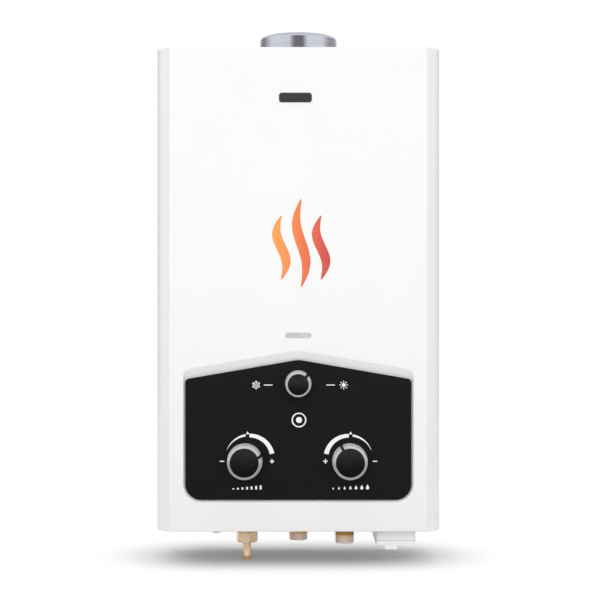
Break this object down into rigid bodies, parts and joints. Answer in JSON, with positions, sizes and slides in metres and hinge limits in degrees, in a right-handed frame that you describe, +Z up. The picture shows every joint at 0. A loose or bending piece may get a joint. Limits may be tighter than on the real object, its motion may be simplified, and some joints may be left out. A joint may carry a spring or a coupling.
{
  "type": "tankless gas water heater",
  "caption": "Wall-hung instantaneous gas water heater: white casing, black panel with turning knobs, flue collar on top, pipe fittings and battery door below.",
  "frame": {"origin": "on the wall plane, midway between the four wall screws, at half the casing's height", "axes": "+Z up, +Y into the wall, +X to the right for a viewer facing the front"},
  "size_m": [0.294, 0.1536, 0.56],
  "materials": {
    "white_enamel": "gloss",
    "zinc_sheet": "satin",
    "flue_steel": "satin",
    "panel_black": "satin",
    "knob_black": "satin",
    "knob_silver": "satin",
    "mica": "gloss",
    "copper": "satin",
    "brass": "satin",
    "die_cast": "matte",
    "stainless": "satin",
    "rubber_black": "matte",
    "white_plastic": "satin",
    "black_plastic": "matte",
    "ceramic_white": "satin",
    "screw_steel": "satin",
    "cell_jacket": "gloss"
  },
  "bodies": {
    "casing": {"front_cover": "white_enamel", "control_panel": "panel_black", "flame_window": "mica", "back_plate": "zinc_sheet", "top_panel": "white_enamel", "base_plate": "zinc_sheet", "casing_screws": "screw_steel", "flue_collar": "flue_steel", "flue_hood": "zinc_sheet", "exchanger_shell": "copper", "exchanger_fins": "copper", "exchanger_coil": "copper", "exchanger_brackets": "zinc_sheet", "overheat_cutout": "black_plastic", "cold_pipe": "copper", "hot_pipe": "copper", "burner_frame": "zinc_sheet", "burner_bars": "stainless", "injector_manifold": "die_cast", "injector_jets": "brass", "electrode_insulators": "ceramic_white", "electrode_rods": "stainless", "gas_valve_body": "die_cast", "solenoid_valve": "black_plastic", "gas_riser": "die_cast", "season_valve_body": "die_cast", "water_valve_body": "brass", "diaphragm_cover": "brass", "diaphragm": "rubber_black", "return_spring": "stainless", "valve_screws": "screw_steel", "linkage_strap": "zinc_sheet", "microswitch": "black_plastic", "spindle_glands": "brass", "hot_outlet_fitting": "brass", "cold_inlet_fitting": "brass", "inlet_filter": "stainless", "gas_inlet_stub": "brass", "gas_union_nut": "brass", "gas_hose_nipple": "brass", "fitting_locknuts": "brass", "battery_box": "white_plastic", "battery_cells": "cell_jacket", "battery_contacts": "stainless", "igniter_box": "black_plastic"},
    "season_control": {"season_knob": "knob_black", "season_knob_ring": "knob_silver", "season_spindle": "brass"},
    "gas_control": {"gas_knob": "knob_black", "gas_knob_ring": "knob_silver", "gas_spindle": "brass"},
    "water_control": {"water_knob": "knob_black", "water_knob_ring": "knob_silver", "water_spindle": "brass"},
    "linkage": {"push_rod": "stainless", "diaphragm_plate": "stainless", "gas_valve_disc": "rubber_black"},
    "switch_lever": {"microswitch_lever": "stainless"},
    "battery_door": {"battery_lid": "white_plastic", "lid_contact": "stainless"}
  },
  "joints": [
    {"name": "season_knob_turn", "type": "hinge", "parent": "casing", "child": "season_control", "pos_m": [0, -0.129, -0.097], "axis": [0, 1, 0], "range_deg": [-92, 0]},
    {"name": "gas_knob_turn", "type": "hinge", "parent": "casing", "child": "gas_control", "pos_m": [-0.055, -0.129, -0.1767], "axis": [0, 1, 0], "range_deg": [-144, 6]},
    {"name": "water_knob_turn", "type": "hinge", "parent": "casing", "child": "water_control", "pos_m": [0.053, -0.129, -0.1767], "axis": [0, 1, 0], "range_deg": [-46, 104]},
    {"name": "push_rod_slide", "type": "slide", "parent": "casing", "child": "linkage", "axis": [-1, 0, 0], "range_m": [0, 0.004], "stiffness_N_per_m": 400, "deforming": ["return_spring"]},
    {"name": "switch_lever_swing", "type": "hinge", "parent": "casing", "child": "switch_lever", "pos_m": [-0.0177, -0.07, -0.1547], "axis": [0, 1, 0], "range_deg": [0, 17.7]},
    {"name": "battery_lid_swing", "type": "hinge", "parent": "casing", "child": "battery_door", "pos_m": [0.102, -0.0281, -0.2645], "axis": [1, 0, 0], "range_deg": [0, 95]}
  ],
  "couplings": [
    {"joint": "switch_lever_swing", "follows": "push_rod_slide", "rad_per_m": 76.92}
  ]
}
